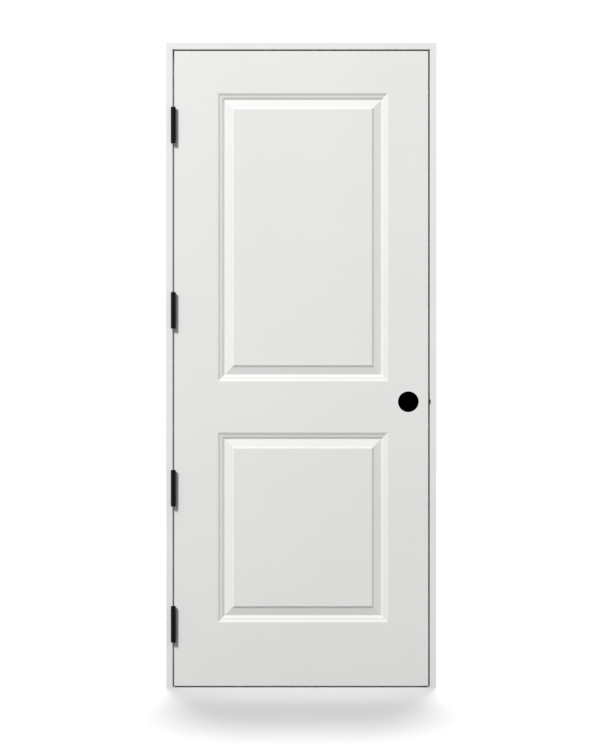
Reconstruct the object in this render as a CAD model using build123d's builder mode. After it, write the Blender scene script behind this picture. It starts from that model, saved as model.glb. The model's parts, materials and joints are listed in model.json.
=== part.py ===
from build123d import *

import os
from math import radians, tan

os.makedirs("parts", exist_ok=True)

# A prehung interior door: a moulded two-panel slab hung on four butt hinges in its own jambs.
# Millimetres. X runs from the hinge jamb to the strike jamb, Y from the opening side to the stop side,
# and Z up. The origin is on the wall face of the hinge jamb, at the floor, half way through its depth.

# Slab
door_width = 812.8
door_height = 2032.0
door_thickness = 44.45
skin_thickness = 3.2
stile_width = 25.4
rail_width = 28.6
lock_bevel_degrees = 3.0
skin_edge_round = 1.0

# Panel layout on the slab
hinge_side_margin = 138.7
lock_side_margin = 128.3
top_margin = 133.9
lock_rail_height = 162.6
lower_panel_height = 608.9
bottom_margin = 202.8

# Moulding section, from the flat of the slab inwards to the panel field
ovolo_width = 8.0
ovolo_fall = 4.2
ovolo_bulge = 0.5
ledge_width = 6.7
ledge_fall = 1.5
cove_width = 7.3
cove_fall = 4.7
cove_bulge = 0.1
bevel_width = 23.5
bevel_rise = 5.9
step_width = 6.5

# Jambs and stops
jamb_thickness = 20.6
jamb_depth = 115.9
jamb_edge_round = 1.5
rabbet_depth = 9.5
stop_width = 32.0
stop_thickness = 11.0
stop_edge_round = 2.5

# Clearances around the slab
reveal = 5.2
floor_clearance = 5.0
stop_clearance = 5.0

# Hinges
hinge_height = 114.3
leaf_thickness = 3.4
leaf_setback = 6.35
leaf_corner_radius = 6.35
pin_standoff = 12.7
pin_radius = 3.95
barrel_radius = 7.95
knuckle_count = 5
knuckle_gap = 0.3
tip_height = 1.2
tip_round = 1.0
pin_clearance = 0.05
notch_clearance = 0.8
mortise_clearance = 0.2
screw_hole_radius = 2.6
screw_sink_radius = 5.2
screw_end_margin = 14.0
screw_row_spacing = 27.0
screw_edge_margin = 11.0
screw_column_spacing = 13.0

# Hinge middles, the upper two from the slab's top edge and the lower two from its bottom edge
top_hinge_drop = 238.0
upper_hinge_drop = 830.2
lower_hinge_rise = 633.1
bottom_hinge_rise = 198.2

# Lock preparation
bore_height = 914.4
bore_backset = 63.5
bore_radius = 33.2
latch_bore_radius = 11.1
faceplate_width = 25.4
faceplate_height = 57.15
faceplate_depth = 3.2
faceplate_corner_radius = 6.35

# Strike plate
strike_width = 28.6
strike_height = 57.15
strike_thickness = 1.6
strike_corner_radius = 6.35
strike_clearance = 0.15
latch_hole_width = 15.9
latch_hole_height = 25.4
latch_hole_corner_radius = 2.0
latch_pocket_depth = 13.0
lip_height = 14.0
lip_radius = 4.0
lip_turn_degrees = 30.0
strike_screw_spacing = 41.3
strike_screw_radius = 2.2
strike_sink_radius = 4.2

# Places that follow from the sizes above
slab_left = jamb_thickness + reveal
slab_right = slab_left + door_width
slab_bottom = floor_clearance
slab_top = slab_bottom + door_height
frame_front = -jamb_depth / 2
frame_back = jamb_depth / 2
slab_front = frame_front
slab_back = slab_front + door_thickness
slab_middle = (slab_front + slab_back) / 2
core_front = slab_front + skin_thickness
core_back = slab_back - skin_thickness
core_left = slab_left + stile_width
core_right = slab_right - stile_width
core_bottom = slab_bottom + rail_width
core_top = slab_top - rail_width
strike_face = slab_right + reveal
frame_width = strike_face + jamb_thickness
head_underside = slab_top + reveal
frame_height = head_underside + jamb_thickness
stop_front = slab_back + stop_clearance
stop_back = stop_front + stop_width

panel_left = slab_left + hinge_side_margin
panel_right = slab_right - lock_side_margin
panel_middle = (panel_left + panel_right) / 2
lower_panel_bottom = slab_bottom + bottom_margin
lower_panel_top = lower_panel_bottom + lower_panel_height
upper_panel_bottom = lower_panel_top + lock_rail_height
upper_panel_top = slab_top - top_margin
panel_spans = ((lower_panel_bottom, lower_panel_top), (upper_panel_bottom, upper_panel_top))

fall_width = ovolo_width + ledge_width + cove_width
moulding_depth = ovolo_fall + ledge_fall + cove_fall
moulding_width = fall_width + bevel_width + step_width

pin_x = jamb_thickness + reveal / 2
pin_y = frame_front - pin_standoff
leaf_reach = pin_standoff + door_thickness - leaf_setback
leaf_depth = leaf_reach - pin_standoff
notch_reach = barrel_radius + notch_clearance
knuckle_pitch = hinge_height / knuckle_count
knuckle_height = knuckle_pitch - knuckle_gap
knuckle_middles = [knuckle_pitch * (i + 0.5) - hinge_height / 2 for i in range(knuckle_count)]
hinge_middles = (
    slab_top - top_hinge_drop,
    slab_top - upper_hinge_drop,
    slab_bottom + lower_hinge_rise,
    slab_bottom + bottom_hinge_rise,
)

bore_x = slab_right - bore_backset
lip_reach = slab_middle - frame_front

# The lock edge leans back, so that its rear corner swings clear of the strike jamb
bevel_slope = tan(radians(lock_bevel_degrees))
lock_edge = Plane(
    origin=(slab_right - bevel_slope * door_thickness / 2, slab_middle, bore_height),
    x_dir=(0, 0, 1),
    z_dir=(1, bevel_slope, 0),
)

# The strike jamb's face at the latch, looking into the jamb
latch_face = Plane(origin=(strike_face, slab_middle, bore_height), x_dir=(0, 1, 0), z_dir=(1, 0, 0))


def save(piece, name):
    """Name a finished piece and write it."""
    piece.label = name
    export_step(piece, f"parts/{name}.step")


def block(left, right, front, back, bottom, top):
    """Add a box between the given faces to the piece that is being built."""
    with Locations(((left + right) / 2, (front + back) / 2, (bottom + top) / 2)):
        Box(right - left, back - front, top - bottom)


def panel_outline(panel_bottom, panel_top):
    """A panel's rectangle on the front face, from the middle of its lower side around to the same point."""
    with BuildLine(Plane.XZ.offset(-slab_front)) as outline:
        Polyline(
            (panel_middle, panel_bottom),
            (panel_right, panel_bottom),
            (panel_right, panel_top),
            (panel_left, panel_top),
            (panel_left, panel_bottom),
            (panel_middle, panel_bottom),
        )
    return outline.wire()


def panel_section_plane(panel_bottom):
    """Where a panel's section is drawn: X towards the panel's middle and Y out of the front face."""
    return Plane(origin=(panel_middle, slab_front, panel_bottom), x_dir=(0, 0, 1), z_dir=(1, 0, 0))


# The moulding around both panels, as what the press takes away from the front face
with BuildPart() as front_moulding:
    for panel_bottom, panel_top in panel_spans:
        with BuildSketch(panel_section_plane(panel_bottom)):
            with BuildLine():
                ovolo = SagittaArc((0, 0), (ovolo_width, -ovolo_fall), ovolo_bulge)
                ledge = Line(ovolo @ 1, ovolo @ 1 + Vector(ledge_width, -ledge_fall))
                cove = SagittaArc(ledge @ 1, ledge @ 1 + Vector(cove_width, -cove_fall), -cove_bulge)
                bevel = Line(cove @ 1, cove @ 1 + Vector(bevel_width, bevel_rise))
                step = Line(bevel @ 1, (moulding_width, 0))
                Line(step @ 1, ovolo @ 0)
            make_face()
        sweep(path=panel_outline(panel_bottom, panel_top), transition=Transition.RIGHT)

# The skin's own thickness behind that moulding, which the core makes room for
with BuildPart() as front_trough:
    for panel_bottom, panel_top in panel_spans:
        with BuildSketch(panel_section_plane(panel_bottom)):
            with BuildLine():
                Polyline(
                    (-skin_thickness, 0),
                    (-skin_thickness, -skin_thickness),
                    (fall_width - skin_thickness / 2, -moulding_depth - skin_thickness),
                    (fall_width + skin_thickness / 2, -moulding_depth - skin_thickness),
                    (fall_width + bevel_width, bevel_rise - moulding_depth - skin_thickness),
                    (moulding_width + skin_thickness, -skin_thickness),
                    (moulding_width + skin_thickness, 0),
                    close=True,
                )
            make_face()
        sweep(path=panel_outline(panel_bottom, panel_top), transition=Transition.RIGHT)

with BuildPart() as back_moulding:
    mirror(front_moulding.part, about=Plane.XZ.offset(-slab_middle))

with BuildPart() as back_trough:
    mirror(front_trough.part, about=Plane.XZ.offset(-slab_middle))

# The cross bore, the latch bore from the lock edge into it, and the latch faceplate's mortise
with BuildPart() as lock_prep:
    with Locations(Location((bore_x, slab_middle, bore_height), (90, 0, 0))):
        Cylinder(bore_radius, 2 * door_thickness)
    with Locations(Location((bore_x, slab_middle, bore_height), (0, 90, 0))):
        Cylinder(latch_bore_radius, 2 * bore_backset, align=(Align.CENTER, Align.CENTER, Align.MIN))
    with BuildSketch(lock_edge.offset(-faceplate_depth)):
        RectangleRounded(faceplate_height, faceplate_width, faceplate_corner_radius)
    extrude(amount=2 * faceplate_depth)


def hinge_mortises(face_x, side):
    """Where leaves are let into a face, open at the front edge. Side is -1 in the jamb, 1 in the slab."""
    width = 2 * (leaf_depth + mortise_clearance)
    height = hinge_height + 2 * mortise_clearance
    with BuildPart() as mortises:
        for middle in hinge_middles:
            with BuildSketch(Plane(origin=(face_x, frame_front, middle), x_dir=(0, 1, 0), z_dir=(1, 0, 0))):
                RectangleRounded(width, height, leaf_corner_radius + mortise_clearance)
            extrude(amount=side * leaf_thickness)
    return mortises.part


jamb_mortises = hinge_mortises(jamb_thickness, -1)
slab_mortises = hinge_mortises(slab_left, 1)


def skin(front, back, face_side):
    """A face of the slab before it is pressed. Face side is -1 for the front and 1 for the back."""
    with BuildPart() as sheet:
        block(slab_left, slab_right, front, back, slab_bottom, slab_top)
        split(bisect_by=lock_edge, keep=Keep.BOTTOM)
        face = sheet.faces().filter_by(Axis.Y).sort_by(Axis.Y)[0 if face_side < 0 else -1]
        fillet(face.edges(), skin_edge_round)
    return sheet.part


with BuildPart() as front_skin:
    add(skin(slab_front, core_front, -1))
    add(front_trough.part)
    add(front_moulding.part, mode=Mode.SUBTRACT)
    add(slab_mortises, mode=Mode.SUBTRACT)
    add(lock_prep.part, mode=Mode.SUBTRACT)
save(front_skin.part, "front_skin")

with BuildPart() as back_skin:
    add(skin(core_back, slab_back, 1))
    add(back_trough.part)
    add(back_moulding.part, mode=Mode.SUBTRACT)
    add(lock_prep.part, mode=Mode.SUBTRACT)
save(back_skin.part, "back_skin")

with BuildPart() as door_core:
    block(core_left, core_right, core_front, core_back, core_bottom, core_top)
    add(front_trough.part, mode=Mode.SUBTRACT)
    add(back_trough.part, mode=Mode.SUBTRACT)
    add(lock_prep.part, mode=Mode.SUBTRACT)
save(door_core.part, "door_core")

with BuildPart() as hinge_stile:
    block(slab_left, core_left, core_front, core_back, slab_bottom, slab_top)
    add(slab_mortises, mode=Mode.SUBTRACT)
save(hinge_stile.part, "hinge_stile")

with BuildPart() as lock_stile:
    block(core_right, slab_right, core_front, core_back, slab_bottom, slab_top)
    split(bisect_by=lock_edge, keep=Keep.BOTTOM)
    add(lock_prep.part, mode=Mode.SUBTRACT)
save(lock_stile.part, "lock_stile")

with BuildPart() as top_rail:
    block(core_left, core_right, core_front, core_back, core_top, slab_top)
save(top_rail.part, "top_rail")

with BuildPart() as bottom_rail:
    block(core_left, core_right, core_front, core_back, slab_bottom, core_bottom)
save(bottom_rail.part, "bottom_rail")

# Jambs: the sides run full height, and the head's ends sit in a rabbet at their tops
with BuildPart() as hinge_jamb:
    block(0, jamb_thickness, frame_front, frame_back, 0, frame_height)
    fillet(hinge_jamb.faces().sort_by(Axis.X)[-1].edges().filter_by(Axis.Z), jamb_edge_round)
    with Locations((jamb_thickness, 0, frame_height)):
        Box(2 * rabbet_depth, jamb_depth, 2 * jamb_thickness, mode=Mode.SUBTRACT)
    add(jamb_mortises, mode=Mode.SUBTRACT)
save(hinge_jamb.part, "hinge_jamb")

with BuildPart() as strike_jamb:
    block(strike_face, frame_width, frame_front, frame_back, 0, frame_height)
    fillet(strike_jamb.faces().sort_by(Axis.X)[0].edges().filter_by(Axis.Z), jamb_edge_round)
    with Locations((strike_face, 0, frame_height)):
        Box(2 * rabbet_depth, jamb_depth, 2 * jamb_thickness, mode=Mode.SUBTRACT)
    with BuildSketch(latch_face):
        RectangleRounded(
            strike_width + 2 * strike_clearance,
            strike_height + 2 * strike_clearance,
            strike_corner_radius + strike_clearance,
        )
        Rectangle(lip_reach, lip_height + 2 * strike_clearance, align=(Align.MAX, Align.CENTER))
    extrude(amount=strike_thickness, mode=Mode.SUBTRACT)
    with BuildSketch(latch_face):
        RectangleRounded(latch_hole_width, latch_hole_height, latch_hole_corner_radius)
    extrude(amount=latch_pocket_depth, mode=Mode.SUBTRACT)
save(strike_jamb.part, "strike_jamb")

with BuildPart() as head_jamb:
    block(
        jamb_thickness - rabbet_depth,
        strike_face + rabbet_depth,
        frame_front,
        frame_back,
        head_underside,
        frame_height,
    )
    fillet(head_jamb.faces().sort_by(Axis.Z)[0].edges().filter_by(Axis.X), jamb_edge_round)
save(head_jamb.part, "head_jamb")

# Stops: the head stop runs from jamb to jamb, and the side stops stand under it
side_stop_top = head_underside - stop_thickness

with BuildPart() as head_stop:
    block(jamb_thickness, strike_face, stop_front, stop_back, side_stop_top, head_underside)
    fillet(head_stop.faces().sort_by(Axis.Z)[0].edges().filter_by(Axis.X), stop_edge_round)
save(head_stop.part, "head_stop")

with BuildPart() as hinge_stop:
    block(jamb_thickness, jamb_thickness + stop_thickness, stop_front, stop_back, 0, side_stop_top)
    fillet(hinge_stop.faces().sort_by(Axis.X)[-1].edges().filter_by(Axis.Z), stop_edge_round)
save(hinge_stop.part, "hinge_stop")

with BuildPart() as strike_stop:
    block(strike_face - stop_thickness, strike_face, stop_front, stop_back, 0, side_stop_top)
    fillet(strike_stop.faces().sort_by(Axis.X)[0].edges().filter_by(Axis.Z), stop_edge_round)
save(strike_stop.part, "strike_stop")

# Strike plate: flush in the jamb, with a lip that curls away from the slab in front of the jamb
with BuildPart() as strike_plate:
    with BuildSketch(latch_face):
        RectangleRounded(strike_width, strike_height, strike_corner_radius)
        Rectangle(lip_reach, lip_height, align=(Align.MAX, Align.CENTER))
        RectangleRounded(latch_hole_width, latch_hole_height, latch_hole_corner_radius, mode=Mode.SUBTRACT)
    extrude(amount=strike_thickness)
    with BuildSketch(Plane.XY.offset(bore_height)):
        with BuildLine():
            lip_middle = (strike_face + lip_radius, frame_front)
            lip_outside = CenterArc(lip_middle, lip_radius, 180, lip_turn_degrees)
            lip_inside = CenterArc(lip_middle, lip_radius - strike_thickness, 180, lip_turn_degrees)
            Line(lip_outside @ 0, lip_inside @ 0)
            Line(lip_outside @ 1, lip_inside @ 1)
        make_face()
    extrude(amount=lip_height / 2, both=True)
    with Locations(Plane(origin=latch_face.origin, x_dir=(0, 1, 0), z_dir=(-1, 0, 0))):
        with GridLocations(1, strike_screw_spacing, 1, 2):
            CounterSinkHole(strike_screw_radius, strike_sink_radius)
save(strike_plate.part, "strike_plate")


def hinge_leaf(side, knuckles):
    """A hinge leaf about its pin: plate, knuckles, screw holes. Side is -1 on the jamb, 1 on the slab."""
    gap_face = side * reveal / 2
    with BuildPart() as leaf:
        with BuildSketch(Plane.YZ.offset(gap_face)) as plate:
            with Locations((notch_reach, 0)):
                Rectangle(leaf_reach - notch_reach, hinge_height, align=(Align.MIN, Align.CENTER))
            fillet(plate.vertices().group_by(Axis.X)[-1], leaf_corner_radius)
            for middle in knuckles:
                with Locations((0, middle)):
                    Rectangle(notch_reach, knuckle_height, align=(Align.MIN, Align.CENTER))
        extrude(amount=side * leaf_thickness)
        for middle in knuckles:
            with Locations((0, 0, middle)):
                Cylinder(barrel_radius, knuckle_height)
        Cylinder(pin_radius + pin_clearance, 2 * hinge_height, mode=Mode.SUBTRACT)
        with Locations(Plane(origin=(gap_face, 0, 0), x_dir=(0, 1, 0), z_dir=(-side, 0, 0))):
            far_column = leaf_reach - screw_edge_margin
            near_column = far_column - screw_column_spacing
            outer_row = hinge_height / 2 - screw_end_margin
            inner_row = outer_row - screw_row_spacing
            for column, row in ((near_column, outer_row), (far_column, inner_row)):
                with Locations((column, row), (column, -row)):
                    CounterSinkHole(screw_hole_radius, screw_sink_radius)
    return leaf.part


slab_leaf = hinge_leaf(1, knuckle_middles[1::2])
jamb_leaf = hinge_leaf(-1, knuckle_middles[0::2])
barrel_end = hinge_height / 2 - knuckle_gap / 2

# The jamb leaf's lowest knuckle is closed by a tip, so the pin goes in from above and rests on it
with BuildPart() as tipped_jamb_leaf:
    add(jamb_leaf)
    with Locations((0, 0, -barrel_end)):
        Cylinder(barrel_radius, tip_height, align=(Align.CENTER, Align.CENTER, Align.MAX))
    fillet(tipped_jamb_leaf.faces().sort_by(Axis.Z)[0].edges(), tip_round)

# The pin's head has the barrel's own radius and sits on the top knuckle
with BuildPart() as hinge_pin:
    with Locations((0, 0, -barrel_end)):
        Cylinder(pin_radius, 2 * barrel_end, align=(Align.CENTER, Align.CENTER, Align.MIN))
    with Locations((0, 0, barrel_end)):
        Cylinder(barrel_radius, tip_height, align=(Align.CENTER, Align.CENTER, Align.MIN))
    fillet(hinge_pin.faces().sort_by(Axis.Z)[-1].edges(), tip_round)

for number, middle in enumerate(hinge_middles, start=1):
    for name, pattern in (
        ("door_leaf", slab_leaf),
        ("jamb_leaf", tipped_jamb_leaf.part),
        ("hinge_pin", hinge_pin.part),
    ):
        with BuildPart() as hinge_piece:
            with Locations((pin_x, pin_y, middle)):
                add(pattern)
        save(hinge_piece.part, f"{name}_{number}")
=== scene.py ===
import json
from math import acos, ceil, cos, pi, radians, sin, tan

import bmesh
import bpy
from mathutils import Matrix, Vector


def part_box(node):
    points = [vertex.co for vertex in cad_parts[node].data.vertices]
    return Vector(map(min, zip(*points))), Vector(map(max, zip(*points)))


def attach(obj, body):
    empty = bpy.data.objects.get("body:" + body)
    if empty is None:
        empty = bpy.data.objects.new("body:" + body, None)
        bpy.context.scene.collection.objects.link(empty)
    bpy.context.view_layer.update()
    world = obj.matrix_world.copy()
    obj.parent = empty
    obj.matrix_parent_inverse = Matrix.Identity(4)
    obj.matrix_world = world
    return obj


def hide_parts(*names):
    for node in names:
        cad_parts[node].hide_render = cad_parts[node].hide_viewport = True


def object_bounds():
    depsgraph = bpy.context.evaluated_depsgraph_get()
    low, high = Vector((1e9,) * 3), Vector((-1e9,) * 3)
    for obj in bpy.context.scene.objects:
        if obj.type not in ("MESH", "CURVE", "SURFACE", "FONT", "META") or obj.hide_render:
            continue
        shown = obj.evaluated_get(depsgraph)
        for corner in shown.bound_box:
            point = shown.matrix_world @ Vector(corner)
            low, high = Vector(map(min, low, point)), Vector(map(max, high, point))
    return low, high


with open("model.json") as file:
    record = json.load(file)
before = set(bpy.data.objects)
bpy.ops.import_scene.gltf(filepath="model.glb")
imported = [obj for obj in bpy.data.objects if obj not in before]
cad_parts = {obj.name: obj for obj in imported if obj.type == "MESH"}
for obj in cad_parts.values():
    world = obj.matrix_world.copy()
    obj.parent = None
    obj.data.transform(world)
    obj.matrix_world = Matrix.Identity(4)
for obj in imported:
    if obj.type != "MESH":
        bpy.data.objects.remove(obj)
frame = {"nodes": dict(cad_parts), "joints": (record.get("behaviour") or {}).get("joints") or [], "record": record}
cad_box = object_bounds()
nodes = frame["nodes"]
scene = bpy.context.scene

# A prehung door in metres: X from the hinge jamb to the strike jamb, Y from the front to the back, Z up.

# Places read from the frame
mounts = {mount["name"]: mount for mount in frame["record"]["mounts"]}
openings = {opening["name"]: opening for opening in frame["record"]["physics"]["openings"]}
hinge_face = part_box("hinge_jamb")[1].x
strike_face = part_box("strike_jamb")[0].x
stile_low, stile_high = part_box("hinge_stile")
core_low, core_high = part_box("door_core")
reveal = stile_low.x - hinge_face
slab_left = stile_low.x
slab_right = strike_face - reveal
slab_bottom = stile_low.z
slab_top = stile_high.z
slab_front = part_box("front_skin")[0].y
slab_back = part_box("back_skin")[1].y
slab_middle = (slab_front + slab_back) / 2
door_middle = (cad_box[0] + cad_box[1]) / 2
bore_centre = Vector(mounts["lock_bore"]["pos_m"])
bore_radius = mounts["lock_bore"]["dims"]["r_mm"] / 1000
latch_radius = mounts["latch_bore"]["dims"]["r_mm"] / 1000
pin = Vector(frame["joints"][0]["pos_m"])

# Slab: pressed skins on a board core, with a lock edge that leans back
SKIN_THICKNESS = 0.0032
SKIN_ROUND = 0.001
LOCK_BEVEL = radians(3)
HINGE_SIDE_MARGIN = 0.1387
LOCK_SIDE_MARGIN = 0.1283
TOP_MARGIN = 0.1339
LOCK_RAIL = 0.1626
LOWER_PANEL = 0.6089
BOTTOM_MARGIN = 0.2028
FACEPLATE_WIDTH = 0.0254
FACEPLATE_HEIGHT = 0.05715
FACEPLATE_DEPTH = 0.0032
FACEPLATE_CORNER = 0.00635

panel_left = slab_left + HINGE_SIDE_MARGIN
panel_right = slab_right - LOCK_SIDE_MARGIN
lower_bottom = slab_bottom + BOTTOM_MARGIN
lower_top = lower_bottom + LOWER_PANEL
panels = ((lower_bottom, lower_top), (lower_top + LOCK_RAIL, slab_top - TOP_MARGIN))

# Moulding section, from the flat of the slab inwards to the panel field
OVOLO_WIDTH = 0.008
OVOLO_FALL = 0.0042
OVOLO_BULGE = 0.0005
LEDGE_WIDTH = 0.0067
LEDGE_FALL = 0.0015
COVE_WIDTH = 0.0073
COVE_FALL = 0.0047
COVE_BULGE = 0.0001
BEVEL_WIDTH = 0.0235
BEVEL_RISE = 0.0059
STEP_WIDTH = 0.0065
CREASE_ROUND = 0.001
CREASE_SUPPORT = 0.0002
fall_width = OVOLO_WIDTH + LEDGE_WIDTH + COVE_WIDTH
moulding_depth = OVOLO_FALL + LEDGE_FALL + COVE_FALL
moulding_width = fall_width + BEVEL_WIDTH + STEP_WIDTH

# Hinges, about the pin
HINGES = (1, 2, 3, 4)
HINGE_HEIGHT = 0.1143
LEAF_THICKNESS = 0.0034
LEAF_REACH = 0.0508
LEAF_CORNER = 0.00635
LEAF_EDGE = 0.0003
BARREL_RADIUS = 0.00795
PIN_RADIUS = 0.00395
PIN_CLEARANCE = 0.00005
KNUCKLES = 5
KNUCKLE_GAP = 0.0003
KNUCKLE_EDGE = 0.0005
TAB_INSET = 0.0003
NOTCH_CLEARANCE = 0.0008
MORTISE_CLEARANCE = 0.0002
TIP_HEIGHT = 0.0012
TIP_ROUND = 0.001
pin_standoff = slab_front - pin.y
knuckle_pitch = HINGE_HEIGHT / KNUCKLES
barrel_end = (HINGE_HEIGHT - KNUCKLE_GAP) / 2
notch_reach = BARREL_RADIUS + NOTCH_CLEARANCE

# Countersunk screws
SINK_ANGLE = radians(82)
LEAF_SINK = 0.0052
LEAF_HOLE = 0.0026
STRIKE_SINK = 0.0042
STRIKE_HOLE = 0.0022
SCREW_CLEARANCE = 0.00015
SCREW_EDGE = 0.00015
SCREW_DROP = 0.0001
SCREW_ROWS = (0.04315, 0.01615)
SCREW_COLUMNS = (0.0268, 0.0398)
SCREW_TURN = radians(137.5)
STRIKE_THICKNESS = 0.0016
STRIKE_SCREW_SPACING = 0.0413

# Cross recess of the screws, in shares of other sizes
CROSS_SPAN = 0.55  # of the head's radius
CROSS_SLOT = 0.12  # of the head's radius
CROSS_DEPTH = 0.36  # of the shank's diameter
CROSS_RISE = 0.25  # of its depth, above the head
CROSS_FLOOR = 0.5  # of its mouth's width

# Bare recesses: how far their boxes reach past the walls, and how far the stated opening keeps from them
BARE_MARGIN = 0.0005
OPENING_CLEARANCE = 0.0005

# Fineness of the meshes
ROUND_STEPS = 64
SCREW_STEPS = 32
BORE_STEPS = 128
ARC_STEPS = 8
EDGE_STEPS = 2
ROUND_PROFILE = 0.5
CREASE_STEP = radians(9)
SHARP_ANGLE = radians(13)
WELD = 1e-7
SLIVER = 1e-6

# Where a shape's own X, Y and Z go when its Z is laid along X or Y
ALONG_X = ((0, 1, 0), (0, 0, 1), (1, 0, 0))
ALONG_Y = ((1, 0, 0), (0, 0, -1), (0, 1, 0))

# Noise in the finishes: its detail, and the span of values over which two tones are mixed
FINE_DETAIL = 2.0
CLOUD_DETAIL = 3.0
GRAIN_DETAIL = 4.0
NOISE_SPAN = (0.35, 0.65)
WIDE_SPAN = (0.3, 0.7)

# White primer. Scales here and below are in cells to the metre, and depths in metres
WHITE = (0.824, 0.82, 0.806)
PRIMER_ROUGHNESS = 0.45
PRIMER_SPREAD = 0.05
PRIMER_SPECULAR = 0.35
CLOUD_SCALE = 2.5
CLOUD_SHADES = (0.985, 1.005)
SATIN_SCALE = 40.0
SPRAY_SCALE = 650.0
SPRAY_DEPTH = 0.00005
SPRAY_STRENGTH = 0.35
GRAIN_SCALE = 260.0
GRAIN_STRETCH = {"X": (0.03, 1, 1), "Z": (1, 1, 0.03)}
GRAIN_DEPTH = 0.00008
GRAIN_STRENGTH = 0.5

# Bare wood
DARK_WOOD = (0.5, 0.34, 0.19)
PALE_WOOD = (0.68, 0.52, 0.33)
WOOD_SCALE = 150.0
WOOD_STRETCH = (1, 1, 0.05)

# Black powder coat
DEEP_BLACK = (0.003, 0.003, 0.003)
SOFT_BLACK = (0.0055, 0.0055, 0.0057)
COAT_ROUGHNESS = 0.45
COAT_SPREAD = 0.07
COAT_SPECULAR = 0.08
COAT_CLOUD_SCALE = 90.0
COAT_SATIN_SCALE = 300.0
GRIT_SCALE = 1800.0
GRIT_DEPTH = 0.00003
GRIT_STRENGTH = 0.4

# Particle board, with the browns of its chips from dark to pale
BOARD_ROUGHNESS = 0.8
BOARD_SPECULAR = 0.2
CHIP_SCALE = 420.0
CHIP_DEPTH = 0.0006
CHIP_STRENGTH = 0.6
CHIP_BROWNS = (
    (0.0, (0.24, 0.15, 0.08)),
    (0.4, (0.42, 0.29, 0.17)),
    (0.75, (0.55, 0.41, 0.26)),
    (1.0, (0.66, 0.53, 0.36)),
)

# Stage, with the floor's grey as the camera sees it and as it lights the door
FLOOR_REACH = 20.0
FLOOR_SEEN = 0.9
FLOOR_UNSEEN = 0.15
# Thickness of the black disc of painted shade that closes the cross bore
SHADE_DISC_THICKNESS = 0.001

# Light. At a level of 1, a white surface that faces the lamp looks white
AMBIENT = 0.28
KEY_DIRECTION = (-0.57, -1, 0.82)
KEY_DISTANCE = 17.0
KEY_SIZE = 3.6
KEY_LEVEL = 0.97
BACK_DIRECTION = (0.4, 1, 0.5)
BACK_DISTANCE = 10.0
BACK_SIZE = 4.0
BACK_LEVEL = 0.8

# The floor's own lamps. A sun's slope is how far it stands back for each metre up
SUN_DISTANCE = 5.0
FRONT_SUN_SLOPE = -1.0
FRONT_SUN_ANGLE = radians(7)
FRONT_SUN_LEVEL = 0.45
REAR_SUNS = 4
REAR_SUN_SLOPE = 0.44
REAR_SUN_SLOPE_STEP = 0.13
REAR_SUN_ANGLE = radians(16)
REAR_SUN_LEVEL = 0.225
FOOT_LIGHT_WIDTH = 1.2
FOOT_LIGHT_DEPTH = 0.2
FOOT_LIGHT_HEIGHT = 0.3
FOOT_LIGHT_STANDOFF = 0.2
FOOT_LIGHT_LEVEL = 0.34

# The photograph's frame, and where the door stands in it
IMAGE_WIDTH, IMAGE_HEIGHT = 600, 750
PIXELS_PER_METRE = 312.4
FEET_ROW = 687.4
DOOR_MIDDLE_COLUMN = 301.25
CAMERA_DISTANCE = 9.0
SENSOR = 36.0


# Meshes


def mesh_of(faces):
    """A mesh from faces given by their corner points, welded where they meet."""
    shape = bmesh.new()
    for face in faces:
        shape.faces.new([shape.verts.new(point) for point in face])
    bmesh.ops.remove_doubles(shape, verts=shape.verts, dist=WELD)
    bmesh.ops.recalc_face_normals(shape, faces=shape.faces)
    mesh = bpy.data.meshes.new("shape")
    shape.to_mesh(mesh)
    shape.free()
    return mesh


def band(ring, next_ring):
    """The faces between two closed rings of as many points."""
    count = len(ring)
    return [
        [ring[i], ring[(i + 1) % count], next_ring[(i + 1) % count], next_ring[i]]
        for i in range(count)
    ]


def stack(rings):
    """The faces between each ring and the next."""
    faces = []
    for ring, next_ring in zip(rings, rings[1:]):
        faces += band(ring, next_ring)
    return faces


def arc(centre, radius, start, end, steps=ARC_STEPS):
    """Points on an arc about a centre, from one angle to another."""
    angles = [start + (end - start) * i / steps for i in range(steps + 1)]
    return [(centre[0] + radius * cos(a), centre[1] + radius * sin(a)) for a in angles]


def lathe(outline, steps=ROUND_STEPS):
    """A solid of revolution about Z. The outline's (radius, height) points start and end on the axis."""
    turns = [2 * pi * i / steps for i in range(steps)]
    rings = []
    for radius, height in outline:
        rings.append([Vector((radius * cos(t), radius * sin(t), height)) for t in turns])
    return mesh_of(stack(rings))


def rod(radius, bottom, top, steps=ROUND_STEPS):
    """A plain round tool along Z."""
    return lathe([(0, bottom), (radius, bottom), (radius, top), (0, top)], steps)


def prism(outline, bottom, top, edge=0.0):
    """An outline in X and Y carried along Z, with its two rims eased where an edge is given."""
    rings = [[Vector((x, y, z)) for x, y in outline] for z in (bottom, top)]
    mesh = mesh_of(stack(rings) + rings)
    if edge:
        shape = bmesh.new()
        shape.from_mesh(mesh)
        rims = [e for e in shape.edges if e.verts[0].co.z == e.verts[1].co.z]
        bmesh.ops.bevel(
            shape, geom=rims, offset=edge, segments=EDGE_STEPS, profile=ROUND_PROFILE, affect="EDGES"
        )
        shape.to_mesh(mesh)
        shape.free()
    return mesh


def block(low, high):
    """A plain box tool between two corners."""
    outline = [(low[0], low[1]), (high[0], low[1]), (high[0], high[1]), (low[0], high[1])]
    return prism(outline, low[2], high[2])


def rounded_rectangle(width, height, radius):
    """An outline about the origin with round corners."""
    points = []
    for corner, (side_x, side_y) in enumerate(((1, 1), (-1, 1), (-1, -1), (1, -1))):
        centre = (side_x * (width / 2 - radius), side_y * (height / 2 - radius))
        points += arc(centre, radius, corner * pi / 2, (corner + 1) * pi / 2)
    return points


def placed(mesh, matrix):
    """A copy of a mesh, moved and turned."""
    copy = mesh.copy()
    copy.transform(matrix)
    return copy


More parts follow.
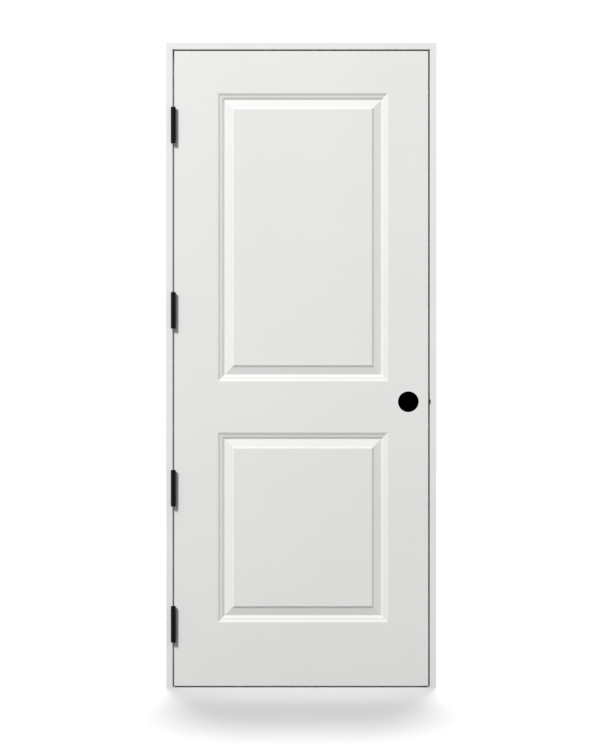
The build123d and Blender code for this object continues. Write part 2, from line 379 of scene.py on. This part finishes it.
def axes(x_axis, y_axis, z_axis, origin):
    """The matrix that carries a shape's own X, Y and Z onto the given directions at an origin."""
    turned = Matrix((x_axis, y_axis, z_axis)).transposed().to_4x4()
    return Matrix.Translation(origin) @ turned


def joined(meshes):
    """Several meshes as one."""
    shape = bmesh.new()
    for mesh in meshes:
        shape.from_mesh(mesh)
    result = bpy.data.meshes.new("shape")
    shape.to_mesh(result)
    shape.free()
    return result


def combined(mesh, operation, tools):
    """A mesh after each tool is added to it or taken away from it."""
    work = bpy.data.objects.new("work", mesh)
    helpers = [work]
    for tool in tools:
        helper = bpy.data.objects.new("tool", tool)
        helpers.append(helper)
        step = work.modifiers.new("step", "BOOLEAN")
        step.operation = operation
        step.solver = "EXACT"
        step.object = helper
    for helper in helpers:
        scene.collection.objects.link(helper)
    graph = bpy.context.evaluated_depsgraph_get()
    result = bpy.data.meshes.new_from_object(work.evaluated_get(graph))
    for helper in helpers:
        bpy.data.objects.remove(helper)
    shape = bmesh.new()
    shape.from_mesh(result)
    bmesh.ops.dissolve_degenerate(shape, dist=SLIVER, edges=shape.edges)
    shape.to_mesh(result)
    shape.free()
    return result


def add_piece(name, mesh, material, slot, body, *stands_for):
    """Put a finished mesh in the scene, riding on a body, in place of the nodes that it stands for."""
    mesh.name = name
    mesh.shade_smooth()
    mesh.set_sharp_from_angle(angle=SHARP_ANGLE)
    mesh.materials.clear()
    mesh.materials.append(material)
    piece = bpy.data.objects.new(name, mesh)
    scene.collection.objects.link(piece)
    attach(piece, body)
    if stands_for:
        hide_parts(*stands_for)


# Slab


def bulged(start, end, bulge):
    """Points after start, up to end, on a shallow arc that bulges towards the viewer."""
    run, fall = end[0] - start[0], end[1] - start[1]
    length = (run**2 + fall**2) ** 0.5
    points = []
    for i in range(1, ARC_STEPS + 1):
        t = i / ARC_STEPS
        lift = 4 * t * (1 - t) * bulge
        inset = start[0] + run * t + fall / length * lift
        depth = start[1] + fall * t - run / length * lift
        points.append((inset, depth))
    return points


def softened(points, radius):
    """A polyline with each real corner turned into a small arc."""
    soft = [points[0]]
    for before, corner, after in zip(points, points[1:], points[2:]):
        corner = Vector(corner)
        arriving = (corner - Vector(before)).normalized()
        leaving = (Vector(after) - corner).normalized()
        turn = acos(max(-1.0, min(1.0, arriving.dot(leaving))))
        if turn < CREASE_STEP:
            soft.append(tuple(corner))
            continue
        reach = radius * tan(turn / 2)
        first = corner - arriving * reach
        across = (leaving - arriving * arriving.dot(leaving)).normalized()
        steps = ceil(turn / CREASE_STEP)
        soft.append(tuple(first - arriving * CREASE_SUPPORT))
        for i in range(steps + 1):
            a = turn * i / steps
            point = first + arriving * radius * sin(a) + across * radius * (1 - cos(a))
            soft.append(tuple(point))
        soft.append(tuple(corner + leaving * (reach + CREASE_SUPPORT)))
    return soft + [points[-1]]


def moulding_section():
    """The pressed section as (inset, depth) points, with a strip of flat at both ends."""
    ovolo_end = (OVOLO_WIDTH, OVOLO_FALL)
    ledge_end = (OVOLO_WIDTH + LEDGE_WIDTH, OVOLO_FALL + LEDGE_FALL)
    cove_end = (fall_width, moulding_depth)
    points = [(-SKIN_THICKNESS, 0), (0, 0)]
    points += bulged((0, 0), ovolo_end, OVOLO_BULGE)
    points += [ledge_end]
    points += bulged(ledge_end, cove_end, -COVE_BULGE)
    points += [(fall_width + BEVEL_WIDTH, moulding_depth - BEVEL_RISE)]
    points += [(moulding_width, 0), (moulding_width + SKIN_THICKNESS, 0)]
    return softened(points, CREASE_ROUND)


def trough_section():
    """The skin's rear side behind the moulding, which the core makes room for."""
    back = SKIN_THICKNESS
    return [
        (-back, back),
        (fall_width - back / 2, moulding_depth + back),
        (fall_width + back / 2, moulding_depth + back),
        (fall_width + BEVEL_WIDTH, moulding_depth - BEVEL_RISE + back),
        (moulding_width + back, back),
    ]


def corners(rectangle, y):
    """The four corners of a (left, right, bottom, top) rectangle."""
    left, right, bottom, top = rectangle
    return [Vector((x, y, z)) for x, z in ((left, bottom), (right, bottom), (right, top), (left, top))]


def panel_rectangle(panel, inset):
    """A panel's outline moved inwards."""
    return panel_left + inset, panel_right - inset, panel[0] + inset, panel[1] - inset


def grid_lines(inset):
    """The columns and rows on which the panels' outlines lie."""
    rows = [edge for panel in panels for edge in (panel[0] + inset, panel[1] - inset)]
    return [panel_left + inset, panel_right - inset], rows


def panelled_side(rectangle, face_y, inward, section):
    """The faces of a flat side with the section carried round both panels, mitred at their corners."""
    left, right, bottom, top = rectangle
    inset, flat_depth = section[0]
    columns, rows = grid_lines(inset)
    columns = [left] + columns + [right]
    rows = [bottom] + rows + [top]
    faces = []
    for column in range(len(columns) - 1):
        for row in range(len(rows) - 1):
            in_panel = column == 1 and row % 2 == 1
            if not in_panel:
                cell = (columns[column], columns[column + 1], rows[row], rows[row + 1])
                faces.append(corners(cell, face_y + inward * flat_depth))
    for panel in panels:
        rings = [corners(panel_rectangle(panel, u), face_y + inward * depth) for u, depth in section]
        faces += stack(rings) + [rings[-1]]
    return faces


def edge_ring(rectangle, y):
    """A rectangle's outline, with points where the lines of the flat's grid meet it."""
    left, right, bottom, top = rectangle
    columns, rows = grid_lines(-SKIN_THICKNESS)
    points = [(x, bottom) for x in [left] + columns + [right]]
    points += [(right, z) for z in rows]
    points += [(x, top) for x in [right] + columns[::-1] + [left]]
    points += [(left, z) for z in rows[::-1]]
    return [Vector((x, y, z)) for x, z in points]


def lock_edge_x(y):
    """Where the leaning lock edge is at a depth."""
    return slab_right - tan(LOCK_BEVEL) * (y - slab_front)


def slab_rectangle(inset, y):
    """The slab's outline at a depth, moved inwards."""
    return slab_left + inset, lock_edge_x(y) - inset, slab_bottom + inset, slab_top - inset


def bore_tool():
    """The cross bore."""
    tool = rod(bore_radius, slab_front - slab_back, slab_back - slab_front, BORE_STEPS)
    return placed(tool, axes(*ALONG_Y, bore_centre))


def latch_tools():
    """The latch bore from the lock edge into the cross bore, and the mortise of its faceplate."""
    bore = rod(latch_radius, 0, slab_right - bore_centre.x + FACEPLATE_DEPTH)
    bore = placed(bore, axes(*ALONG_X, bore_centre))
    outline = rounded_rectangle(FACEPLATE_WIDTH, FACEPLATE_HEIGHT, FACEPLATE_CORNER)
    mortise = prism(outline, -FACEPLATE_DEPTH, FACEPLATE_DEPTH)
    outwards = (cos(LOCK_BEVEL), sin(LOCK_BEVEL), 0)
    along = (-sin(LOCK_BEVEL), cos(LOCK_BEVEL), 0)
    place = (lock_edge_x(slab_middle), slab_middle, bore_centre.z)
    return bore, placed(mortise, axes(along, (0, 0, 1), outwards, place))


def hinge_middle(number):
    """The height of a hinge's middle."""
    low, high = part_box(f"door_leaf_{number}")
    return (low.z + high.z) / 2


def notch_tools():
    """Where the hinge leaves are let into the slab's front corner."""
    depth = LEAF_REACH - pin_standoff + MORTISE_CLEARANCE
    half = HINGE_HEIGHT / 2 + MORTISE_CLEARANCE
    tools = []
    for number in HINGES:
        z = hinge_middle(number)
        low = (slab_left - LEAF_THICKNESS, slab_front - depth, z - half)
        high = (slab_left + LEAF_THICKNESS, slab_front + depth, z + half)
        tools.append(block(low, high))
    return tools


def skin_mesh(face_y, inward, tools):
    """One pressed face of the slab, with eased outer edges."""
    rear_y = face_y + inward * SKIN_THICKNESS
    flat = slab_rectangle(2 * SKIN_ROUND, face_y)
    rear = slab_rectangle(0, rear_y)
    rings = [edge_ring(flat, face_y)]
    for i in range(ARC_STEPS + 1):
        a = pi / 2 * i / ARC_STEPS
        y = face_y + inward * SKIN_ROUND * (1 - cos(a))
        rings.append(edge_ring(slab_rectangle(SKIN_ROUND * (1 - sin(a)), y), y))
    rings.append(edge_ring(rear, rear_y))
    faces = panelled_side(flat, face_y, inward, moulding_section())
    faces += panelled_side(rear, face_y, inward, trough_section())
    return combined(mesh_of(faces + stack(rings)), "DIFFERENCE", tools)


def core_mesh():
    """The board between the skins, with the cross bore and the inner end of the latch bore."""
    rectangle = (core_low.x, core_high.x, core_low.z, core_high.z)
    faces = panelled_side(rectangle, slab_front, 1, trough_section())
    faces += panelled_side(rectangle, slab_back, -1, trough_section())
    faces += band(edge_ring(rectangle, core_low.y), edge_ring(rectangle, core_high.y))
    return combined(mesh_of(faces), "DIFFERENCE", [bore_tool(), latch_tools()[0]])


def lock_stile_mesh():
    """The stile at the lock edge, with the latch bore and the mortise of its faceplate."""
    outline = [
        (core_high.x, core_low.y),
        (lock_edge_x(core_low.y), core_low.y),
        (lock_edge_x(core_high.y), core_high.y),
        (core_high.x, core_high.y),
    ]
    return combined(prism(outline, slab_bottom, slab_top), "DIFFERENCE", latch_tools())


def build_slab(paint, edge_paint, board):
    """The slab's replaced pieces."""
    front = skin_mesh(slab_front, 1, [bore_tool()] + notch_tools())
    back = skin_mesh(slab_back, -1, [bore_tool()])
    add_piece("pressed_front_skin", front, paint, "primed_skin", "door", "front_skin")
    add_piece("pressed_back_skin", back, paint, "primed_skin", "door", "back_skin")
    add_piece("core_board", core_mesh(), board, "core_board", "door", "door_core")
    add_piece("latch_stile", lock_stile_mesh(), edge_paint, "primed_edge", "door", "lock_stile")


# Hinges and screws


def rim_arc(height, radius, up):
    """The round rim of a barrel's end at a height, which looks up or down."""
    points = arc((BARREL_RADIUS - radius, height - up * radius), radius, 0, up * pi / 2)
    return points if up > 0 else points[::-1]


def knuckle_outline(bottom, top, tip):
    """A knuckle's outline with its two rims eased, or with a closed tip at its foot."""
    if tip:
        points = rim_arc(bottom - TIP_HEIGHT, TIP_ROUND, -1)
    else:
        points = rim_arc(bottom, KNUCKLE_EDGE, -1)
    points += rim_arc(top, KNUCKLE_EDGE, 1)
    return [(0, points[0][1])] + points + [(0, top)]


def leaf_outline(knuckles):
    """A leaf's outline in Y and Z about the pin: a plate with round corners, and a tab to each knuckle."""
    half = HINGE_HEIGHT / 2
    points = arc((LEAF_REACH - LEAF_CORNER, LEAF_CORNER - half), LEAF_CORNER, -pi / 2, 0)
    points += arc((LEAF_REACH - LEAF_CORNER, half - LEAF_CORNER), LEAF_CORNER, 0, pi / 2)
    points += [(notch_reach, half)]
    for bottom, top in reversed(knuckles):
        high, low = top - TAB_INSET, bottom + TAB_INSET
        points += [(notch_reach, high), (0, high), (0, low), (notch_reach, low)]
    return points + [(notch_reach, -half)]


def leaf_screw_places(side):
    """Where a leaf's screws sit about the pin, on the face towards the gap."""
    places = []
    for row, column in zip(SCREW_ROWS, SCREW_COLUMNS):
        places += [Vector((side * reveal / 2, column, z)) for z in (row, -row)]
    return places


def sink_outline(head_radius, hole_radius, top, bottom):
    """A countersunk cone, which has the head's radius at height 0, and the hole below it."""
    slope = tan(SINK_ANGLE / 2)
    top_radius = head_radius + top * slope
    cone_depth = (head_radius - hole_radius) / slope
    return [(0, top), (top_radius, top), (hole_radius, -cone_depth), (hole_radius, bottom), (0, bottom)]


def screw_seat(side, place, turn=0.0):
    """The matrix of a screw or its sink, looking along -X where side is 1 and along X where it is -1."""
    return axes((0, 1, 0), (0, 0, -side), (-side, 0, 0), place) @ Matrix.Rotation(turn, 4, "Z")


def leaf_mesh(side, first_knuckle, tipped):
    """A leaf about the pin at its middle height. Side is -1 on the jamb and 1 on the slab."""
    spans = []
    for i in range(first_knuckle, KNUCKLES, 2):
        bottom = i * knuckle_pitch - HINGE_HEIGHT / 2 + KNUCKLE_GAP / 2
        spans.append((bottom, bottom + knuckle_pitch - KNUCKLE_GAP))
    plate = prism(leaf_outline(spans), reveal / 2, reveal / 2 + LEAF_THICKNESS, LEAF_EDGE)
    plate = placed(plate, axes(*ALONG_X, (0, 0, 0)))
    if side < 0:
        plate = placed(plate, Matrix.Rotation(pi, 4, "Y"))
    sink = lathe(sink_outline(LEAF_SINK, LEAF_HOLE, LEAF_THICKNESS / 2, -2 * LEAF_THICKNESS))
    sinks = [placed(sink, screw_seat(side, place)) for place in leaf_screw_places(side)]
    plate = combined(plate, "DIFFERENCE", sinks)
    knuckles = [lathe(knuckle_outline(*span, tipped and span == spans[0])) for span in spans]
    pin_hole = rod(PIN_RADIUS + PIN_CLEARANCE, -barrel_end, HINGE_HEIGHT)
    return combined(combined(plate, "UNION", knuckles), "DIFFERENCE", [pin_hole])


def pin_mesh():
    """A hinge pin with its button head."""
    top = barrel_end + TIP_HEIGHT
    outline = [(0, -barrel_end), (PIN_RADIUS, -barrel_end), (PIN_RADIUS, barrel_end)]
    outline += [(BARREL_RADIUS, barrel_end)] + rim_arc(top, TIP_ROUND, 1) + [(0, top)]
    return lathe(outline)


def cross_tool(reach, slot, depth):
    """A cross recess, which starts above the head and narrows towards its floor."""
    outline = [(slot, slot), (slot, reach), (-slot, reach), (-slot, slot), (-reach, slot), (-reach, -slot)]
    outline += [(-x, -y) for x, y in outline]
    rings = []
    for z, share in ((depth * CROSS_RISE, 1.0), (-depth, CROSS_FLOOR)):
        rings.append([Vector((share * x, share * y, z)) for x, y in outline])
    return mesh_of(stack(rings) + rings)


def screw_mesh(sink_radius, hole_radius, length):
    """A countersunk screw with a cross recess, just below the face that it sits in, looking along Z."""
    head = sink_radius - SCREW_CLEARANCE
    shank = hole_radius - SCREW_CLEARANCE
    cone = sink_outline(head, shank, -SCREW_EDGE, -length)[1:]
    outline = [(0, 0), (cone[0][0] - SCREW_EDGE, 0)] + cone
    recess = cross_tool(CROSS_SPAN * head, CROSS_SLOT * head, CROSS_DEPTH * 2 * shank)
    screw = combined(lathe(outline, SCREW_STEPS), "DIFFERENCE", [recess])
    return placed(screw, Matrix.Translation((0, 0, -SCREW_DROP)))


def build_hinges(black):
    """Four hinges: two leaves, a pin and the screws of both leaves each."""
    # Each leaf's side, body, owner and shape
    leaves = (
        (1, "door", "door", leaf_mesh(1, 1, tipped=False)),
        (-1, "frame", "jamb", leaf_mesh(-1, 0, tipped=True)),
    )
    pin_shape = pin_mesh()
    screw = screw_mesh(LEAF_SINK, LEAF_HOLE, LEAF_THICKNESS - 2 * SCREW_CLEARANCE)
    turn = 0.0
    for number in HINGES:
        hinge = f"hinge_{number}"
        move = Matrix.Translation((pin.x, pin.y, hinge_middle(number)))
        for side, body, owner, leaf in leaves:
            node = f"{owner}_leaf_{number}"
            add_piece(f"{hinge}_{owner}_leaf", placed(leaf, move), black, "black_hardware", body, node)
            screws = []
            for place in leaf_screw_places(side):
                turn += SCREW_TURN
                screws.append(placed(screw, move @ screw_seat(side, place, turn)))
            add_piece(f"{hinge}_{owner}_screws", joined(screws), black, "black_hardware", body)
        node = f"hinge_pin_{number}"
        add_piece(f"{hinge}_pin", placed(pin_shape, move), black, "black_hardware", "frame", node)


def build_strike_screws(black):
    """The two screws of the strike plate."""
    screw = screw_mesh(STRIKE_SINK, STRIKE_HOLE, STRIKE_THICKNESS - SCREW_CLEARANCE)
    screws = []
    for end in (-1, 1):
        place = Vector((strike_face, slab_middle, bore_centre.z + end * STRIKE_SCREW_SPACING / 2))
        screws.append(placed(screw, screw_seat(1, place, end * SCREW_TURN)))
    add_piece("strike_screws", joined(screws), black, "black_hardware", "frame")


# Materials


def latch_recess():
    """The corners of a box round the walls of the latch bore and mortise, below the painted edge."""
    half_width = FACEPLATE_WIDTH / 2 + BARE_MARGIN
    half_height = FACEPLATE_HEIGHT / 2 + BARE_MARGIN
    low = Vector((bore_centre.x, slab_middle - half_width, bore_centre.z - half_height))
    below_edge = lock_edge_x(slab_middle + half_width) - BARE_MARGIN
    return low, Vector((below_edge, slab_middle + half_width, bore_centre.z + half_height))


def strike_recess():
    """The corners of a box round the walls of the strike's pocket, below the jamb's painted face."""
    low, high = (Vector(corner) for corner in openings["latch_pocket"]["box_m"])
    margin = Vector.Fill(3, OPENING_CLEARANCE + BARE_MARGIN)
    low -= margin
    low.x = strike_face + BARE_MARGIN
    return low, high + margin


def new_material(name, roughness, specular):
    """A material with its node tree and shader."""
    material = bpy.data.materials.new(name)
    material.use_nodes = True
    shader = material.node_tree.nodes["Principled BSDF"]
    shader.inputs["Roughness"].default_value = roughness
    shader.inputs["Specular IOR Level"].default_value = specular
    return material, material.node_tree, shader


def own_place(tree):
    """The place on the surface, in the object's own coordinates."""
    return tree.nodes.new("ShaderNodeTexCoord").outputs["Object"]


def math_node(tree, operation, *values):
    """The result of a math node, from numbers and from outputs of other nodes."""
    node = tree.nodes.new("ShaderNodeMath")
    node.operation = operation
    for socket, value in zip(node.inputs, values):
        if isinstance(value, bpy.types.NodeSocket):
            tree.links.new(value, socket)
        else:
            socket.default_value = value
    return node.outputs["Value"]


def noise(tree, scale, detail, stretch=(1, 1, 1)):
    """Noise in the object's own coordinates, drawn out along an axis whose stretch is under 1."""
    mapping = tree.nodes.new("ShaderNodeMapping")
    mapping.inputs["Scale"].default_value = stretch
    tree.links.new(own_place(tree), mapping.inputs["Vector"])
    texture = tree.nodes.new("ShaderNodeTexNoise")
    texture.inputs["Scale"].default_value = scale
    texture.inputs["Detail"].default_value = detail
    tree.links.new(mapping.outputs["Vector"], texture.inputs["Vector"])
    return texture.outputs["Fac"]


def ramp(tree, factor, stops):
    """Colours along a factor, as (position, colour) stops."""
    node = tree.nodes.new("ShaderNodeValToRGB")
    elements = node.color_ramp.elements
    while len(elements) < len(stops):
        elements.new(0.5)
    for element, (position, colour) in zip(elements, stops):
        element.position = position
        element.color = (*colour, 1)
    tree.links.new(factor, node.inputs["Fac"])
    return node.outputs["Color"]


def two_tones(tree, factor, dark, light, span=NOISE_SPAN):
    """A dark and a light colour, mixed over a span of a factor's values."""
    return ramp(tree, factor, ((span[0], dark), (span[1], light)))


def shade(colour, factor):
    """A colour made lighter or darker."""
    return tuple(channel * factor for channel in colour)


def vary_roughness(tree, shader, factor, middle, spread):
    """Roughness that runs between two values about a middle one."""
    span = tree.nodes.new("ShaderNodeMapRange")
    span.inputs["To Min"].default_value = middle - spread
    span.inputs["To Max"].default_value = middle + spread
    tree.links.new(factor, span.inputs["Value"])
    tree.links.new(span.outputs["Result"], shader.inputs["Roughness"])


def bump(tree, height, depth, strength, before=None):
    """A bump of a height, on top of another one if there is one."""
    node = tree.nodes.new("ShaderNodeBump")
    node.inputs["Distance"].default_value = depth
    node.inputs["Strength"].default_value = strength
    tree.links.new(height, node.inputs["Height"])
    if before:
        tree.links.new(before, node.inputs["Normal"])
    return node.outputs["Normal"]


def inside_box(tree, low, high):
    """1 inside a box in the object's own coordinates, and 0 outside it."""
    mapping = tree.nodes.new("ShaderNodeMapping")
    mapping.vector_type = "TEXTURE"
    mapping.inputs["Location"].default_value = (low + high) / 2
    mapping.inputs["Scale"].default_value = (high - low) / 2
    tree.links.new(own_place(tree), mapping.inputs["Vector"])
    split = tree.nodes.new("ShaderNodeSeparateXYZ")
    tree.links.new(mapping.outputs["Vector"], split.inputs["Vector"])
    # The mapping carries the box onto one that reaches 1 to each side of 0
    in_x, in_y, in_z = (math_node(tree, "COMPARE", split.outputs[axis], 0.0, 1.0) for axis in "XYZ")
    return math_node(tree, "MULTIPLY", math_node(tree, "MULTIPLY", in_x, in_y), in_z)


def bare_wood(tree, paint, low, high):
    """Paint, but bare wood inside a recess that was cut after painting."""
    streaks = noise(tree, WOOD_SCALE, GRAIN_DETAIL, WOOD_STRETCH)
    mix = tree.nodes.new("ShaderNodeMixRGB")
    tree.links.new(inside_box(tree, low, high), mix.inputs["Fac"])
    tree.links.new(paint, mix.inputs["Color1"])
    tree.links.new(two_tones(tree, streaks, DARK_WOOD, PALE_WOOD), mix.inputs["Color2"])
    return mix.outputs["Color"]


def primer(name, grain=None, recess=None):
    """Satin white primer with a fine sprayed texture, over wood grain along X or Z where there is any."""
    material, tree, shader = new_material(name, PRIMER_ROUGHNESS, PRIMER_SPECULAR)
    dark, light = (shade(WHITE, factor) for factor in CLOUD_SHADES)
    tint = two_tones(tree, noise(tree, CLOUD_SCALE, CLOUD_DETAIL), dark, light)
    if recess:
        tint = bare_wood(tree, tint, *recess)
    tree.links.new(tint, shader.inputs["Base Color"])
    vary_roughness(tree, shader, noise(tree, SATIN_SCALE, FINE_DETAIL), PRIMER_ROUGHNESS, PRIMER_SPREAD)
    surface = bump(tree, noise(tree, SPRAY_SCALE, FINE_DETAIL), SPRAY_DEPTH, SPRAY_STRENGTH)
    if grain:
        streaks = noise(tree, GRAIN_SCALE, GRAIN_DETAIL, GRAIN_STRETCH[grain])
        surface = bump(tree, streaks, GRAIN_DEPTH, GRAIN_STRENGTH, surface)
    tree.links.new(surface, shader.inputs["Normal"])
    return material


def black_coat():
    """Satin black powder coat on steel."""
    material, tree, shader = new_material("black_coat", COAT_ROUGHNESS, COAT_SPECULAR)
    clouds = noise(tree, COAT_CLOUD_SCALE, CLOUD_DETAIL)
    tree.links.new(two_tones(tree, clouds, DEEP_BLACK, SOFT_BLACK, WIDE_SPAN), shader.inputs["Base Color"])
    vary_roughness(tree, shader, noise(tree, COAT_SATIN_SCALE, FINE_DETAIL), COAT_ROUGHNESS, COAT_SPREAD)
    grit = noise(tree, GRIT_SCALE, FINE_DETAIL)
    tree.links.new(bump(tree, grit, GRIT_DEPTH, GRIT_STRENGTH), shader.inputs["Normal"])
    return material


def particle_board():
    """Raw particle board, in chips of a few browns."""
    material, tree, shader = new_material("particle_board", BOARD_ROUGHNESS, BOARD_SPECULAR)
    chips = tree.nodes.new("ShaderNodeTexVoronoi")
    chips.inputs["Scale"].default_value = CHIP_SCALE
    tree.links.new(own_place(tree), chips.inputs["Vector"])
    split = tree.nodes.new("ShaderNodeSeparateColor")
    tree.links.new(chips.outputs["Color"], split.inputs["Color"])
    tree.links.new(ramp(tree, split.outputs["Red"], CHIP_BROWNS), shader.inputs["Base Color"])
    surface = bump(tree, chips.outputs["Distance"], CHIP_DEPTH, CHIP_STRENGTH)
    tree.links.new(surface, shader.inputs["Normal"])
    return material


def paint_node(name, material):
    """Give a shown CAD node its material."""
    data = nodes[name].data
    data.materials.clear()
    data.materials.append(material)


# Stage, light and camera


def seen_directly(tree):
    """1 for what the camera sees, also in a mirror or through glass, and 0 for what only lights things."""
    path = tree.nodes.new("ShaderNodeLightPath")
    seen = path.outputs["Is Camera Ray"]
    for name in ("Is Glossy Ray", "Is Transmission Ray"):
        seen = math_node(tree, "MAXIMUM", seen, path.outputs[name])
    return seen


def make_world():
    """White behind the door, and an even soft light on it."""
    world = bpy.data.worlds.new("world")
    world.use_nodes = True
    scene.world = world
    tree = world.node_tree
    background = tree.nodes["Background"]
    background.inputs["Color"].default_value = (1, 1, 1, 1)
    strength = tree.nodes.new("ShaderNodeMapRange")
    strength.inputs["To Min"].default_value = AMBIENT
    strength.inputs["To Max"].default_value = 1.0
    tree.links.new(seen_directly(tree), strength.inputs["Value"])
    tree.links.new(strength.outputs["Result"], background.inputs["Strength"])


def matt_grey(tree, level):
    """A matt grey surface."""
    shader = tree.nodes.new("ShaderNodeBsdfDiffuse")
    shader.inputs["Color"].default_value = (level, level, level, 1)
    return shader.outputs["BSDF"]


def floor_material():
    """Plain white to look at, which throws little light back up at the door."""
    material = bpy.data.materials.new("floor")
    material.use_nodes = True
    tree = material.node_tree
    tree.nodes.remove(tree.nodes["Principled BSDF"])
    either = tree.nodes.new("ShaderNodeMixShader")
    tree.links.new(seen_directly(tree), either.inputs["Fac"])
    tree.links.new(matt_grey(tree, FLOOR_UNSEEN), either.inputs[1])
    tree.links.new(matt_grey(tree, FLOOR_SEEN), either.inputs[2])
    tree.links.new(either.outputs["Shader"], tree.nodes["Material Output"].inputs["Surface"])
    return material


def make_floor():
    """A plain floor under the door's feet."""
    sides = ((-1, -1), (1, -1), (1, 1), (-1, 1))
    mesh = mesh_of([[Vector((x * FLOOR_REACH, y * FLOOR_REACH, cad_box[0].z)) for x, y in sides]])
    mesh.materials.append(floor_material())
    floor = bpy.data.objects.new("floor", mesh)
    scene.collection.objects.link(floor)
    return floor


def make_painted_bore_shade():
    """A black disc half way through the cross bore: painted shade that keeps the bore dark, so that no bright
    background shows through it.
    """
    disc = rod(bore_radius, -SHADE_DISC_THICKNESS / 2, SHADE_DISC_THICKNESS / 2, BORE_STEPS)
    disc = placed(disc, axes(*ALONG_Y, bore_centre))
    material, _, shader = new_material("dark", roughness=1.0, specular=0.0)
    shader.inputs["Base Color"].default_value = (0, 0, 0, 1)
    disc.materials.append(material)
    shade_disc = bpy.data.objects.new("bore_painted_shade", disc)
    scene.collection.objects.link(shade_disc)
    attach(shade_disc, "door")


def add_light(kind, name, target, direction, distance, level):
    """A lamp that stands in a direction from its target, at a distance, and lights it at a level."""
    towards = Vector(direction).normalized()
    data = bpy.data.lights.new(name, kind)
    if kind == "AREA":
        data.energy = level * pi**2 * distance**2
    else:
        data.energy = level * pi
    light = bpy.data.objects.new(name, data)
    light.location = target + towards * distance
    light.rotation_euler = towards.to_track_quat("Z", "Y").to_euler()
    scene.collection.objects.link(light)
    return light


def link_to_floor(light, floor, state):
    """Let a lamp light the floor alone (INCLUDE), or all but the floor (EXCLUDE)."""
    receivers = bpy.data.collections.new(f"{light.name}_receivers")
    receivers.objects.link(floor)
    receivers.collection_objects[0].light_linking.link_state = state
    light.light_linking.receiver_collection = receivers


def light_door(floor):
    """A key lamp from the upper left of the front, and a lamp from behind."""
    key = add_light("AREA", "key", door_middle, KEY_DIRECTION, KEY_DISTANCE, KEY_LEVEL)
    key.data.size = KEY_SIZE
    back = add_light("AREA", "back", door_middle, BACK_DIRECTION, BACK_DISTANCE, BACK_LEVEL)
    back.data.size = BACK_SIZE
    for lamp in (key, back):
        link_to_floor(lamp, floor, "EXCLUDE")


def add_floor_sun(floor, name, slope, angle, level):
    """A sun from the front or from behind, for the floor alone."""
    sun = add_light("SUN", name, door_middle, (0, slope, 1), SUN_DISTANCE, level)
    sun.data.angle = angle
    link_to_floor(sun, floor, "INCLUDE")


def light_floor(floor):
    """Suns that cast the door's short soft shadow, and a low lamp that lifts it at the door's foot."""
    add_floor_sun(floor, "floor_front", FRONT_SUN_SLOPE, FRONT_SUN_ANGLE, FRONT_SUN_LEVEL)
    for i in range(REAR_SUNS):
        slope = REAR_SUN_SLOPE + REAR_SUN_SLOPE_STEP * i
        add_floor_sun(floor, f"floor_behind_{i}", slope, REAR_SUN_ANGLE, REAR_SUN_LEVEL)
    foot = Vector((door_middle.x, slab_front - FOOT_LIGHT_STANDOFF, cad_box[0].z))
    lamp = add_light("AREA", "foot_light", foot, (0, 0, 1), FOOT_LIGHT_HEIGHT, FOOT_LIGHT_LEVEL)
    lamp.data.shape = "RECTANGLE"
    lamp.data.size = FOOT_LIGHT_WIDTH
    lamp.data.size_y = FOOT_LIGHT_DEPTH
    lamp.visible_camera = False
    lamp.visible_glossy = False
    link_to_floor(lamp, floor, "INCLUDE")


def make_camera():
    """A straight view from far enough away that it is nearly parallel."""
    data = bpy.data.cameras.new("camera")
    data.sensor_width = SENSOR
    data.lens = SENSOR * CAMERA_DISTANCE * PIXELS_PER_METRE / IMAGE_HEIGHT
    camera = bpy.data.objects.new("camera", data)
    camera.location = (
        door_middle.x + (IMAGE_WIDTH / 2 - DOOR_MIDDLE_COLUMN) / PIXELS_PER_METRE,
        slab_front - CAMERA_DISTANCE,
        cad_box[0].z + (FEET_ROW - IMAGE_HEIGHT / 2) / PIXELS_PER_METRE,
    )
    camera.rotation_euler = (pi / 2, 0, 0)
    scene.collection.objects.link(camera)
    scene.camera = camera


skin_paint = primer("skin_primer")
jamb_paint = primer("jamb_primer", "Z")
head_paint = primer("head_primer", "X")
stile_paint = primer("stile_primer", "Z", latch_recess())
strike_paint = primer("strike_jamb_primer", "Z", strike_recess())
hardware = black_coat()

build_slab(skin_paint, stile_paint, particle_board())
build_hinges(hardware)
build_strike_screws(hardware)
for name in ("hinge_jamb", "hinge_stop", "strike_stop", "hinge_stile"):
    paint_node(name, jamb_paint)
for name in ("head_jamb", "head_stop", "top_rail", "bottom_rail"):
    paint_node(name, head_paint)
paint_node("strike_jamb", strike_paint)
paint_node("strike_plate", hardware)

make_world()
# A black disc of painted shade inside the cross bore
make_painted_bore_shade()
floor = make_floor()
light_door(floor)
light_floor(floor)
make_camera()
scene.view_settings.view_transform = "Standard"
